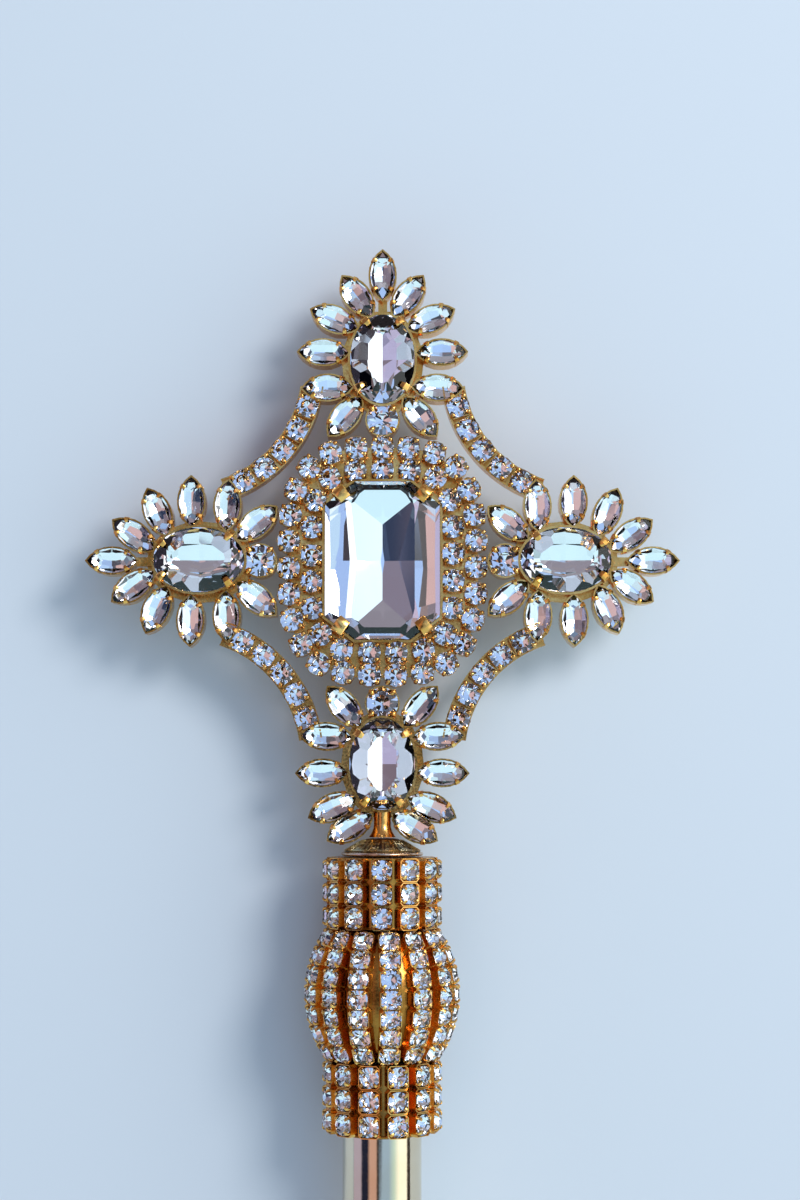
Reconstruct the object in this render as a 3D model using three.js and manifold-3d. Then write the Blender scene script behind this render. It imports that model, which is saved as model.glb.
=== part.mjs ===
// A rhinestone sceptre, lying face up: a cross-shaped head of set crystals, a patterned cap, a knop of
// stone-set strips, and a polished tube that ends in a plain pommel. Millimetres, +Z up, +Y towards the
// tip of the head. The origin is under the middle of the whole piece, on the surface it lies on.
import * as THREE from "three";
import { ConvexGeometry } from "three/addons/geometries/ConvexGeometry.js";
import { mergeVertices } from "three/addons/utils/BufferGeometryUtils.js";
import Module from "manifold-3d";

// ---- Driving dimensions -----------------------------------------------------------------------------

const TOTAL_LENGTH = 500;
const AXIS_HEIGHT = 11.35; // the tube's axis above the surface; knop and pommel are flattened there
const SEAT_GAP = 0.15; // clearance between a crystal and its cup
const CUP_WALL = 0.3;
const CUP_DEPTH = 3.3;
const RIM_HEIGHT = 1.3; // the cups' rims above the tube's axis
const PIECE_GAP = 0.2; // between pieces that stand face to face

// Each crystal is `width` by `length` at its widest line, its girdle. The table is the flat on top, given
// as a share of that size, and the keel is the ridge underneath.
const CENTRE = { width: 17.8, length: 24.6, crown: 2.5, pavilion: 3.0, table: [0.53, 0.84], keel: 5.5 };
const OVAL = { width: 10, length: 14, crown: 2.1, pavilion: 3.2, table: [0.56, 0.62], keel: 2.6 };
const PETAL = { width: 3.8, length: 7.6, crown: 1.1, pavilion: 1.9, table: [0.46, 0.58], keel: 0 };
const LINK = { width: 4.9, length: 4.9, crown: 1.1, pavilion: 1.9, table: [0.58, 0.58], keel: 0 };
const CENTRE_CORNER = [4.6, 3.6]; // how much of each side the cut corner takes
const CENTRE_LIFT = 0.5; // the centre crystal's girdle above the rims round it
const OVAL_LIFT = 1.2;
const OVAL_SIDES = 12;
const LINK_SIDES = 8;
const PETAL_STEPS = 4; // straight pieces in each of a petal's two arcs

// Small round stones that are soldered into the frame with their cups.
const ROUND = { radius: 1.85, height: 0.95, table: 0.6, sides: 5 };

// The medallion: two rings of round stones on rounded rectangles about the centre crystal.
const OUTER_RING = { halfWidth: 14.6, halfHeight: 17.8, power: 3.2, stones: 27 };
const INNER_RING = { halfWidth: 11.0, halfHeight: 14.3, power: 4.0, stones: 21 };
const MEDALLION_EDGE = { crest: 1.95, hollow: 1.5 }; // beside each stone and between two

// The four flowers: petals evenly stepped round an ellipse about an oval crystal.
const REACH = { top: 31.5, left: 28.4, bottom: 31.5, right: 28.4 }; // from the middle to each oval crystal
const QUARTER_TURNS = { top: 0, left: 1, bottom: 2, right: 3 };
const FLOWER = { halfWidth: 9.3, halfLength: 11.35, firstAngle: -51, step: 28.9 };
const PETAL_LEANS = [-50, -2, 1, 23, 54]; // each long axis from the sideways line, inner petals first
const TIP_PETAL_OUT = 13.6;
const FOOT_PETAL = { angle: 58, lean: 31 }; // the bottom flower's last pair, spread to pass the stem
const LINK_IN = 9.35; // the link crystal, inwards from the oval one
const FLANGE = { out: 1.2, thickness: 1.2 }; // round the foot of an oval crystal's cup, under the petals
const STALK = { width: 1.4, thickness: 1.6, from: 6.8, to: 10.6 }; // carries the petal at the tip

// The four curved bands, each a fifth of a circle whose centre lies out on a diagonal.
const BAND = { centreX: 31, centreY: 30.4, radius: 20.1, halfWidth: 1.85, depth: 3, drop: 0.65 };
const BAND_STONES = { count: 5, firstAngle: 17.4, step: 11.3 }; // angles from the sideways line
const BAND_ENDS = [8, 72];

// Claws: a post outside the girdle, rooted `foot` below it, whose tip leans in over the crown.
const OVAL_CLAW = { width: 1.2, post: 0.85, tipIn: 0.7, tipUp: 1.25, thickness: 0.6, foot: 1.1 };
const OVAL_CLAW_ANGLES = [57, 123, -42, -138];
const CENTRE_CLAW = { width: 1.8, post: 1.0, tipIn: 1.5, tipUp: 1.75, thickness: 0.6, foot: 0.8 };

// The neck, knop, tube and pommel, as distances along the axis from the middle of the head.
const STEM = { top: -37.5, foot: -42.7, thin: 1.3, flare: 2.1, flareLength: 2, sides: 14 };
const CAP = { top: -42.9, base: -45.5, topRadius: 2.3, baseRadius: 6.3, lip: 0.45, bulge: 0.25, sides: 20 };
const KNOP_TOP = -45.7;
const COLLAR = { length: 10.8, radius: 9.0, strips: 12, upperTurn: 0, lowerTurn: 17 };
const BULB = { length: 19.4, radius: 11.75, strips: 14, turn: 7.5, profileRadius: 16.3, steps: 6 };
const STRIP_WIDTH = 3.2;
const STRIP_HEIGHT = 1.5; // how far the strips stand out from the core
const TUBE = { radius: 6, sides: 36 };
const POMMEL = { length: 27, neck: 7.4, ring: 8.8, ball: 11.75, end: 4.2, sides: 16, steps: 6 };

// ---- Materials --------------------------------------------------------------------------------------

const crystal = new THREE.MeshStandardMaterial({ color: 0xdce9f6, roughness: 0.04, metalness: 0.1 });
const gold = new THREE.MeshStandardMaterial({ color: 0xc98d34, roughness: 0.25, metalness: 1 });
const paleGold = new THREE.MeshStandardMaterial({ color: 0xd6c39a, roughness: 0.1, metalness: 1 });
const agedBronze = new THREE.MeshStandardMaterial({ color: 0x6b4f30, roughness: 0.45, metalness: 1 });

// ---- Joining and cutting ----------------------------------------------------------------------------

const wasm = await Module();
wasm.setup();

function toSolid(geometry) {
  const bare = geometry.clone();
  bare.deleteAttribute("normal");
  bare.deleteAttribute("uv");
  const merged = mergeVertices(bare, 1e-4);
  const vertProperties = merged.attributes.position.array;
  const triVerts = new Uint32Array(merged.index.array);
  const solid = new wasm.Manifold(new wasm.Mesh({ numProp: 3, vertProperties, triVerts }));
  if (solid.volume() >= 0) return solid;
  triVerts.reverse();
  return new wasm.Manifold(new wasm.Mesh({ numProp: 3, vertProperties, triVerts }));
}

function toGeometry(solid) {
  const { vertProperties, triVerts } = solid.getMesh();
  const geometry = new THREE.BufferGeometry();
  geometry.setAttribute("position", new THREE.BufferAttribute(new Float32Array(vertProperties), 3));
  geometry.setIndex(new THREE.BufferAttribute(new Uint32Array(triVerts), 1));
  geometry.computeVertexNormals();
  return geometry;
}

function joined(geometries) {
  return wasm.Manifold.union(geometries.map(toSolid));
}

function named(name, geometry, material) {
  const mesh = new THREE.Mesh(geometry, material);
  mesh.name = name;
  return mesh;
}

// ---- Outlines ---------------------------------------------------------------------------------------

const radians = THREE.MathUtils.degToRad;

function ellipse(width, length, sides) {
  return Array.from({ length: sides }, (_, i) => {
    const angle = ((i + 0.5) / sides) * 2 * Math.PI;
    return new THREE.Vector2((width / 2) * Math.cos(angle), (length / 2) * Math.sin(angle));
  });
}

// A pointed oval: two equal arcs that meet in a tip at each end of the Y axis.
function navette(width, length, steps) {
  const side = width / 2;
  const half = length / 2;
  const radius = (half * half + side * side) / (2 * side);
  const spread = Math.asin(half / radius);
  const arc = Array.from({ length: steps }, (_, i) => {
    const angle = -spread + (2 * spread * i) / steps;
    return new THREE.Vector2(radius * Math.cos(angle) - (radius - side), radius * Math.sin(angle));
  });
  return [...arc, ...arc.map((p) => p.clone().negate())];
}

function cutCornerRectangle(width, length, [cutX, cutY]) {
  const x = width / 2;
  const y = length / 2;
  const quarter = [[x, y - cutY], [x - cutX, y]];
  const half = [...quarter, ...quarter.map(([px, py]) => [-px, py]).reverse()];
  return [...half, ...half.map(([px, py]) => [-px, -py])].map(([px, py]) => new THREE.Vector2(px, py));
}

// The outline made larger all round by about `grow`.
function grown(outline, { width, length }, grow) {
  const scale = new THREE.Vector2(1 + (2 * grow) / width, 1 + (2 * grow) / length);
  return outline.map((p) => p.clone().multiply(scale));
}

// A rounded rectangle, walked clockwise from the middle of its top.
class Superellipse extends THREE.Curve {
  constructor({ halfWidth, halfHeight, power }) {
    super();
    Object.assign(this, { halfWidth, halfHeight, power, arcLengthDivisions: 2000 });
  }

  getPoint(share, target = new THREE.Vector3()) {
    const angle = share * 2 * Math.PI;
    const bend = (value) => Math.sign(value) * Math.abs(value) ** (2 / this.power);
    return target.set(this.halfWidth * bend(Math.sin(angle)), this.halfHeight * bend(Math.cos(angle)), 0);
  }
}

// ---- Crystals and the cups that hold them -----------------------------------------------------------

CENTRE.outline = cutCornerRectangle(CENTRE.width, CENTRE.length, CENTRE_CORNER);
OVAL.outline = ellipse(OVAL.width, OVAL.length, OVAL_SIDES);
PETAL.outline = navette(PETAL.width, PETAL.length, PETAL_STEPS);
LINK.outline = ellipse(LINK.width, LINK.length, LINK_SIDES);

function level(outline, z) {
  return outline.map((p) => new THREE.Vector3(p.x, p.y, z));
}

function keelPoints(stone, drop) {
  const ends = stone.keel ? [-stone.keel, stone.keel] : [0];
  return ends.map((y) => new THREE.Vector3(0, y, -drop));
}

// A faceted crystal with its girdle at z = 0.
function crystalGeometry(stone) {
  const [across, along] = stone.table;
  const table = stone.outline.map((p) => new THREE.Vector2(p.x * across, p.y * along));
  const points = [
    ...level(stone.outline, 0),
    ...level(table, stone.crown),
    ...keelPoints(stone, stone.pavilion),
  ];
  return new ConvexGeometry(points);
}

// The crystal grown by the seat's clearance on every side, which claws and neighbours keep out of.
function clearanceGeometry(stone) {
  const [across, along] = stone.table;
  const table = stone.outline.map((p) => new THREE.Vector2(p.x * across, p.y * along));
  const mouth = grown(stone.outline, stone, SEAT_GAP);
  const points = [
    ...level(mouth, -SEAT_GAP),
    ...level(mouth, SEAT_GAP),
    ...level(grown(table, stone, SEAT_GAP), stone.crown + SEAT_GAP),
    ...keelPoints(stone, stone.pavilion + SEAT_GAP),
  ];
  return new ConvexGeometry(points);
}

function plate(outline, top, depth) {
  const shape = new THREE.Shape(outline);
  return new THREE.ExtrudeGeometry(shape, { depth, bevelEnabled: false }).translate(0, 0, top - depth);
}

function cupGeometry(stone, depth) {
  return plate(grown(stone.outline, stone, SEAT_GAP + CUP_WALL), 0, depth);
}

// The recess in a cup: it slopes in from the rim to just under the crystal's keel, and is open above.
function seatGeometry(stone) {
  const mouth = grown(stone.outline, stone, SEAT_GAP);
  const rim = 0.05;
  return new ConvexGeometry([
    ...level(mouth, rim),
    ...level(mouth, stone.crown),
    ...keelPoints(stone, stone.pavilion + SEAT_GAP),
  ]);
}

// A claw at `spot` on the girdle, which faces out along `angle`.
function clawGeometry({ width, post, tipIn, tipUp, thickness, foot }, spot, angle) {
  const clearOfGirdle = 2 * SEAT_GAP;
  const outline = [
    [SEAT_GAP, -foot],
    [SEAT_GAP + post, -foot],
    [thickness / 2 - tipIn, tipUp + thickness],
    [-tipIn, tipUp],
    [SEAT_GAP, clearOfGirdle],
  ].map(([x, y]) => new THREE.Vector2(x, y));
  return new THREE.ExtrudeGeometry(new THREE.Shape(outline), { depth: width, bevelEnabled: false })
    .translate(0, 0, -width / 2)
    .rotateX(Math.PI / 2)
    .rotateZ(angle)
    .translate(spot.x, spot.y, 0);
}

// A small stone soldered in with its cup: a low cone with a flat table.
function roundStone(x, y, z) {
  const { radius, height, table, sides } = ROUND;
  const sunk = 0.1;
  return new THREE.CylinderGeometry(radius * table, radius, height + sunk, sides)
    .rotateX(Math.PI / 2)
    .translate(x, y, z + (height - sunk) / 2);
}

// ---- The head: crystals in their seats, and the soldered frame that carries them ------------------------

const head = new THREE.Group();
const seats = []; // every separate crystal's place in the head

function seatCrystal(parent, name, stone, [x, y, z], lean = 0) {
  const seat = new THREE.Group();
  seat.position.set(x, y, z);
  seat.rotation.z = lean;
  seat.add(named(name, crystalGeometry(stone), crystal));
  parent.add(seat);
  seats.push({ seat, stone, lift: z });
  return seat;
}

// One flower's own frame: its oval crystal at the origin, +Y outwards.
function addFlower(arm) {
  const turned = new THREE.Group();
  turned.rotation.z = (QUARTER_TURNS[arm] * Math.PI) / 2;
  const flower = new THREE.Group();
  flower.position.set(0, REACH[arm], RIM_HEIGHT);
  head.add(turned);
  turned.add(flower);

  seatCrystal(flower, `oval_crystal_${arm}`, OVAL, [0, 0, OVAL_LIFT]);
  seatCrystal(flower, `link_crystal_${arm}`, LINK, [0, -LINK_IN, 0]);
  const lastOfBottom = (i) => arm === "bottom" && i === PETAL_LEANS.length - 1;
  for (const side of [-1, 1]) {
    PETAL_LEANS.forEach((usualLean, i) => {
      const angle = radians(lastOfBottom(i) ? FOOT_PETAL.angle : FLOWER.firstAngle + i * FLOWER.step);
      const lean = radians(lastOfBottom(i) ? FOOT_PETAL.lean : usualLean);
      const x = side * FLOWER.halfWidth * Math.cos(angle);
      const y = FLOWER.halfLength * Math.sin(angle);
      const name = `petal_${arm}_${side < 0 ? "left" : "right"}_${i + 1}`;
      seatCrystal(flower, name, PETAL, [x, y, 0], side * (lean - Math.PI / 2));
    });
  }
  if (arm !== "bottom") seatCrystal(flower, `petal_${arm}_tip`, PETAL, [0, TIP_PETAL_OUT, 0]);
  return flower;
}

function flangeGeometry() {
  const outline = grown(OVAL.outline, OVAL, SEAT_GAP + FLANGE.out);
  return plate(outline, FLANGE.thickness - CUP_DEPTH, FLANGE.thickness);
}

function stalkGeometry() {
  const { width, thickness, from, to } = STALK;
  const middle = (from + to) / 2;
  return new THREE.BoxGeometry(width, to - from, thickness).translate(0, middle, thickness / 2 - CUP_DEPTH);
}

function ovalClaws() {
  return OVAL_CLAW_ANGLES.map((degrees) => {
    const angle = radians(degrees);
    const spot = { x: (OVAL.width / 2) * Math.cos(angle), y: (OVAL.length / 2) * Math.sin(angle) };
    const outwards = Math.atan2(spot.y / OVAL.length ** 2, spot.x / OVAL.width ** 2);
    return clawGeometry(OVAL_CLAW, spot, outwards).translate(0, 0, OVAL_LIFT);
  });
}

function centreClaws() {
  const x = (CENTRE.width - CENTRE_CORNER[0]) / 2;
  const y = (CENTRE.length - CENTRE_CORNER[1]) / 2;
  const outwards = Math.atan2(CENTRE_CORNER[0], CENTRE_CORNER[1]);
  return [
    [x, y, outwards],
    [-x, y, Math.PI - outwards],
    [-x, -y, Math.PI + outwards],
    [x, -y, -outwards],
  ].map(([px, py, angle]) =>
    clawGeometry(CENTRE_CLAW, { x: px, y: py }, angle).translate(0, 0, RIM_HEIGHT + CENTRE_LIFT),
  );
}

// The medallion's plate follows the outer ring's stones, with a hollow between each two.
function medallionOutline() {
  const ring = new Superellipse(OUTER_RING);
  const count = OUTER_RING.stones * 2;
  return Array.from({ length: count }, (_, i) => {
    const share = i / count;
    const point = ring.getPointAt(share);
    const tangent = ring.getTangentAt(share);
    const out = i % 2 ? MEDALLION_EDGE.hollow : MEDALLION_EDGE.crest;
    return new THREE.Vector2(point.x - tangent.y * out, point.y + tangent.x * out);
  });
}

function ringStones(ring) {
  const path = new Superellipse(ring);
  return Array.from({ length: ring.stones }, (_, i) => {
    const { x, y } = path.getPointAt(i / ring.stones);
    return roundStone(x, y, RIM_HEIGHT);
  });
}

// A point on a band, at an angle from the sideways line and a distance from the band's middle line.
function bandPoint(degrees, off, sideX, sideY) {
  const angle = radians(degrees);
  const radius = BAND.radius + off;
  const x = BAND.centreX - radius * Math.cos(angle);
  const y = BAND.centreY - radius * Math.sin(angle);
  return new THREE.Vector2(sideX * x, sideY * y);
}

function bandGeometries(sideX, sideY) {
  const top = RIM_HEIGHT - BAND.drop;
  const [start, end] = BAND_ENDS;
  const steps = 6;
  const angles = Array.from({ length: steps + 1 }, (_, i) => start + ((end - start) * i) / steps);
  const outline = [
    ...angles.map((a) => bandPoint(a, BAND.halfWidth, sideX, sideY)),
    ...angles.reverse().map((a) => bandPoint(a, -BAND.halfWidth, sideX, sideY)),
  ];
  const stones = Array.from({ length: BAND_STONES.count }, (_, i) => {
    const { x, y } = bandPoint(BAND_STONES.firstAngle + i * BAND_STONES.step, 0, sideX, sideY);
    return roundStone(x, y, top);
  });
  return { bar: plate(outline, top, BAND.depth), stones };
}

function revolve(profile, sides) {
  return new THREE.LatheGeometry(profile.map(([radius, y]) => new THREE.Vector2(radius, y)), sides);
}

function stemGeometry() {
  const { top, foot, thin, flare, flareLength, sides } = STEM;
  return revolve([[0, foot], [flare, foot], [thin, foot + flareLength], [thin, top], [0, top]], sides);
}

function headFrame(flowers) {
  head.updateMatrixWorld(true);
  const placed = (geometry, object) => geometry.applyMatrix4(object.matrixWorld);
  const quadrants = [[1, 1], [-1, 1], [-1, -1], [1, -1]];
  const bands = quadrants.map(([sideX, sideY]) => bandGeometries(sideX, sideY));
  const blanks = [
    plate(medallionOutline(), RIM_HEIGHT, CUP_DEPTH),
    stemGeometry(),
    ...bands.map((band) => band.bar),
    ...seats
      .filter(({ stone }) => stone !== CENTRE)
      .map(({ seat, stone, lift }) => placed(cupGeometry(stone, CUP_DEPTH + lift), seat)),
    ...Object.values(flowers).map((flower) => placed(flangeGeometry(), flower)),
    ...Object.keys(flowers)
      .filter((arm) => arm !== "bottom")
      .map((arm) => placed(stalkGeometry(), flowers[arm])),
  ];
  const trim = [
    ...centreClaws(),
    ...Object.values(flowers).flatMap((flower) =>
      ovalClaws().map((geometry) => placed(geometry, flower)),
    ),
    ...ringStones(OUTER_RING),
    ...ringStones(INNER_RING),
    ...bands.flatMap((band) => band.stones),
  ];
  const rooms = seats.map(({ seat, stone }) => placed(seatGeometry(stone), seat));
  const clearances = seats.map(({ seat, stone }) => placed(clearanceGeometry(stone), seat));
  return joined(blanks).subtract(joined(rooms)).add(joined(trim).subtract(joined(clearances)));
}

seatCrystal(head, "centre_crystal", CENTRE, [0, 0, RIM_HEIGHT + CENTRE_LIFT]);
const flowers = Object.fromEntries(Object.keys(QUARTER_TURNS).map((arm) => [arm, addFlower(arm)]));
head.add(named("head_frame", toGeometry(headFrame(flowers)), gold));
head.updateMatrixWorld(true);

// Stations along the axis, from the tip of the head down.
const HEAD_TIP = new THREE.Box3().setFromObject(head).max.y;
const BULB_TOP = KNOP_TOP - COLLAR.length - PIECE_GAP;
const LOWER_COLLAR_TOP = BULB_TOP - BULB.length - PIECE_GAP;
const KNOP_BOTTOM = LOWER_COLLAR_TOP - COLLAR.length;
const END = HEAD_TIP - TOTAL_LENGTH;
const POMMEL_TOP = END + POMMEL.length;

// ---- Neck cap, knop, tube and pommel ------------------------------------------------------------------

// A shallow domed cone with a lip round its base.
function capGeometry() {
  const { top, base, topRadius, baseRadius, lip, bulge, sides } = CAP;
  const middle = (top + base) / 2;
  const middleRadius = (topRadius + baseRadius) / 2 + bulge;
  return revolve(
    [
      [0, base],
      [baseRadius, base],
      [baseRadius, base + lip],
      [baseRadius - lip, base + 1.5 * lip],
      [middleRadius, middle],
      [topRadius, top],
      [0, top],
    ],
    sides,
  );
}

// Strips side by side round a core, with a groove between each two. `turn` is how far, in degrees, the
// strip on top is turned to the right, and `radiusAt` gives the strips' radius along the barrel.
function stripBarrel({ length, strips }, turn, steps, radiusAt, top) {
  const pitch = (2 * Math.PI) / strips;
  const points = [];
  for (let row = 0; row <= steps; row++) {
    const along = (row / steps - 0.5) * length;
    const crest = radiusAt(along);
    const half = STRIP_WIDTH / 2 / crest;
    for (let strip = 0; strip < strips; strip++) {
      const middle = strip * pitch + radians(turn);
      const corners = [
        [middle - half, crest],
        [middle + half, crest],
        [middle + pitch / 2, crest - STRIP_HEIGHT],
      ];
      for (const [angle, radius] of corners) {
        points.push(radius * Math.sin(angle), top - length / 2 - along, radius * Math.cos(angle));
      }
    }
  }
  const columns = strips * 3;
  const lastRow = steps * columns;
  const hub = lastRow + columns;
  points.push(0, top, 0, 0, top - length, 0);
  const faces = [];
  for (let column = 0; column < columns; column++) {
    const next = (column + 1) % columns;
    for (let row = 0; row < lastRow; row += columns) {
      const [a, b] = [row + column, row + next];
      faces.push(a, a + columns, b, b, a + columns, b + columns);
    }
    faces.push(hub, column, next, hub + 1, lastRow + next, lastRow + column);
  }
  const geometry = new THREE.BufferGeometry();
  geometry.setAttribute("position", new THREE.Float32BufferAttribute(points, 3));
  geometry.setIndex(faces);
  return geometry;
}

function bulbRadius(along) {
  const sagitta = BULB.profileRadius - Math.sqrt(BULB.profileRadius ** 2 - along ** 2);
  return BULB.radius - sagitta;
}

// Everything below the surface that the piece lies on is cut away, which leaves a small flat.
function flattened(solid) {
  const size = 60;
  const below = new THREE.BoxGeometry(size, TOTAL_LENGTH * 3, size);
  return solid.subtract(toSolid(below.translate(0, 0, -AXIS_HEIGHT - size / 2)));
}

function collarGeometry(turn, top) {
  return stripBarrel(COLLAR, turn, 1, () => COLLAR.radius, top);
}

function bulbGeometry() {
  return stripBarrel(BULB, BULB.turn, BULB.steps, bulbRadius, BULB_TOP);
}

function tubeGeometry() {
  const length = KNOP_BOTTOM - POMMEL_TOP - 2 * PIECE_GAP;
  return new THREE.CylinderGeometry(TUBE.radius, TUBE.radius, length, TUBE.sides, 1)
    .translate(0, KNOP_BOTTOM - PIECE_GAP - length / 2, 0);
}

// A plain turned finial: neck, ring, ball and a flat end.
function pommelGeometry() {
  const { neck, ring, ball, end, sides, steps } = POMMEL;
  const ballLow = Math.asin(end / ball);
  const ballHigh = Math.PI - Math.asin(neck / ball);
  const centre = END + ball * Math.cos(ballLow);
  const profile = [[0, END]];
  for (let i = 0; i <= steps; i++) {
    const angle = ballLow + ((ballHigh - ballLow) * i) / steps;
    profile.push([ball * Math.sin(angle), centre - ball * Math.cos(angle)]);
  }
  const ringAndShoulder = [[neck, -4], [ring, -3.4], [ring, -1.4], [neck, 0], [0, 0]];
  profile.push(...ringAndShoulder.map(([radius, down]) => [radius, POMMEL_TOP + down]));
  return revolve(profile, sides);
}

// ---- The whole sceptre ----------------------------------------------------------------------------------

const sceptre = new THREE.Group();
sceptre.add(
  head,
  named("neck_cap", capGeometry(), agedBronze),
  named("knop_upper_collar", collarGeometry(COLLAR.upperTurn, KNOP_TOP), gold),
  named("knop_bulb", toGeometry(flattened(toSolid(bulbGeometry()))), gold),
  named("knop_lower_collar", collarGeometry(COLLAR.lowerTurn, LOWER_COLLAR_TOP), gold),
  named("shaft", tubeGeometry(), paleGold),
  named("pommel", toGeometry(flattened(toSolid(pommelGeometry()))), paleGold),
);
sceptre.position.set(0, TOTAL_LENGTH / 2 - HEAD_TIP, AXIS_HEIGHT);

export default sceptre;
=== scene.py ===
# A rhinestone sceptre, lying face up. The file follows it from the medallion at its heart out to the
# flowers and bands, then down the neck, knop and tube to the pommel, and ends with the floor, the light
# and the camera.
import math
import random

import bmesh
import bpy
from mathutils import Matrix, Vector


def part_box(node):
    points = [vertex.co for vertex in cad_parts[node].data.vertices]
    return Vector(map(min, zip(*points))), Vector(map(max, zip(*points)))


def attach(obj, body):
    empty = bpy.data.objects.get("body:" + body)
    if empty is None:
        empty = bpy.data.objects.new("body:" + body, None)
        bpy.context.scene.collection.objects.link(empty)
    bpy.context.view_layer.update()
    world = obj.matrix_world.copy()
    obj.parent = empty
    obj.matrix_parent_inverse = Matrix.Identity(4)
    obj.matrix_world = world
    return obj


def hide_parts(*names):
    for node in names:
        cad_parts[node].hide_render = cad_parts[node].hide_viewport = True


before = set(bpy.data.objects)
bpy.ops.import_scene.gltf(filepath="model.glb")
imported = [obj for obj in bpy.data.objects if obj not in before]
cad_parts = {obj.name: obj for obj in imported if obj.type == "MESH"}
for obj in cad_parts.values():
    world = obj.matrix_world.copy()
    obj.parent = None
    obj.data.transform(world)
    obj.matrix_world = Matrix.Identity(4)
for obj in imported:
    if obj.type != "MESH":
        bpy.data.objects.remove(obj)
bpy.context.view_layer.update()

# ---- The medallion's plate and cups ----
# A stamped brass plate with two rings of round cups soldered to it, then gold plated. Each cup's four
# prongs are pushed over its stone as small beads.

MM = 0.001
RIM_HEIGHT = 1.3  # the cups' rims above the tube's axis, in millimetres
BACK = -3.3  # the back of the head, below the rims


def middle_of(node):
    low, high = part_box(node)
    return (low + high) / 2


AXIS = middle_of("shaft").z
HEAD = middle_of("centre_crystal")


def mesh_of(shape, name):
    mesh = bpy.data.meshes.new(name)
    shape.to_mesh(mesh)
    shape.free()
    return mesh


def set_piece(shape, name, nodes, materials, smooth_under=35):
    """Puts a finished shape in the scene as one piece of the sceptre. Edges that bend by less than
    `smooth_under` degrees look smooth; cut stones have none."""
    mesh = mesh_of(shape, name)
    for material in materials:
        mesh.materials.append(material)
    if smooth_under:
        mesh.shade_smooth()
        mesh.set_sharp_from_angle(angle=math.radians(smooth_under))
    piece = bpy.data.objects.new(name, mesh)
    bpy.context.scene.collection.objects.link(piece)
    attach(piece, "root")
    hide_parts(*nodes)
    return piece


def whole(shape):
    return shape.verts[:] + shape.edges[:] + shape.faces[:]


def moved(extrusion, kind):
    """The new corners or faces, as `kind` says, of a face that was pulled out."""
    return [item for item in extrusion["geom"] if isinstance(item, kind)]


def turn_about(axis, degrees):
    return Matrix.Rotation(math.radians(degrees), 4, axis)


def put(shape, place):
    bmesh.ops.transform(shape, matrix=place, verts=shape.verts)


def place_mm(x, y, z):
    """A place in metres for a shape that was made in millimetres."""
    return Matrix.Translation((x, y, z)) @ Matrix.Scale(MM, 4)


HEAD_PLACE = place_mm(HEAD.x, HEAD.y, AXIS)
RIMS = HEAD_PLACE @ Matrix.Translation((0, 0, RIM_HEIGHT))  # from the level of the cups' rims


def stamp(target, pattern, place):
    """Adds a copy of a pattern to a shape."""
    copy = pattern.copy()
    copy.transform(place)
    target.from_mesh(copy)
    bpy.data.meshes.remove(copy)


def new_material(name):
    material = bpy.data.materials.new(name)
    material.use_nodes = True
    return material, material.node_tree.nodes, material.node_tree.links


def noise(nodes, links, place, scale, detail=2.0):
    """Cloudy noise that keeps to the piece's own coordinates."""
    clouds = nodes.new("ShaderNodeTexNoise")
    clouds.inputs["Scale"].default_value = scale
    clouds.inputs["Detail"].default_value = detail
    links.new(place.outputs["Object"], clouds.inputs["Vector"])
    return clouds


def spread(nodes, links, source, low, high, to_low=0.0, to_high=1.0):
    """Spreads a value's `low` to `high` over `to_low` to `to_high`."""
    wider = nodes.new("ShaderNodeMapRange")
    for name, value in (("From Min", low), ("From Max", high), ("To Min", to_low), ("To Max", to_high)):
        wider.inputs[name].default_value = value
    links.new(source, wider.inputs["Value"])
    return wider


CLOUD_DETAIL = 3
CLOUD_EDGES = (0.38, 0.66)  # the noise's values where the bright colour ends and the deep one begins
RUBBING_SCALE = 2600
RUBBING_EDGES = (0.35, 0.7)


def handled_metal_group():
    """Plated metal that has been handled: its colour deepens in clouds, and fine rubbing dulls it."""
    group = bpy.data.node_groups.new("handled_metal", "ShaderNodeTree")
    sockets = group.interface
    for name, kind in (("Bright", "Color"), ("Deep", "Color"), ("Clouds", "Float"), ("Polish", "Float"),
                       ("Rubbed", "Float")):
        sockets.new_socket(name, in_out="INPUT", socket_type="NodeSocket" + kind)
    for name, kind in (("Colour", "Color"), ("Roughness", "Float"), ("Relief", "Float")):
        sockets.new_socket(name, in_out="OUTPUT", socket_type="NodeSocket" + kind)
    nodes, links = group.nodes, group.links
    given, made = nodes.new("NodeGroupInput"), nodes.new("NodeGroupOutput")
    place = nodes.new("ShaderNodeTexCoord")
    clouds = noise(nodes, links, place, 1.0, CLOUD_DETAIL)
    links.new(given.outputs["Clouds"], clouds.inputs["Scale"])
    depth = spread(nodes, links, clouds.outputs["Fac"], *CLOUD_EDGES)
    colour = nodes.new("ShaderNodeMix")
    colour.data_type = "RGBA"
    links.new(depth.outputs["Result"], colour.inputs["Factor"])
    links.new(given.outputs["Bright"], colour.inputs["A"])
    links.new(given.outputs["Deep"], colour.inputs["B"])
    links.new(colour.outputs["Result"], made.inputs["Colour"])
    rubbing = noise(nodes, links, place, RUBBING_SCALE)
    dulled = spread(nodes, links, rubbing.outputs["Fac"], *RUBBING_EDGES)
    links.new(given.outputs["Polish"], dulled.inputs["To Min"])
    links.new(given.outputs["Rubbed"], dulled.inputs["To Max"])
    links.new(dulled.outputs["Result"], made.inputs["Roughness"])
    links.new(rubbing.outputs["Fac"], made.inputs["Relief"])
    return group


HANDLED_METAL = handled_metal_group()


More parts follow.
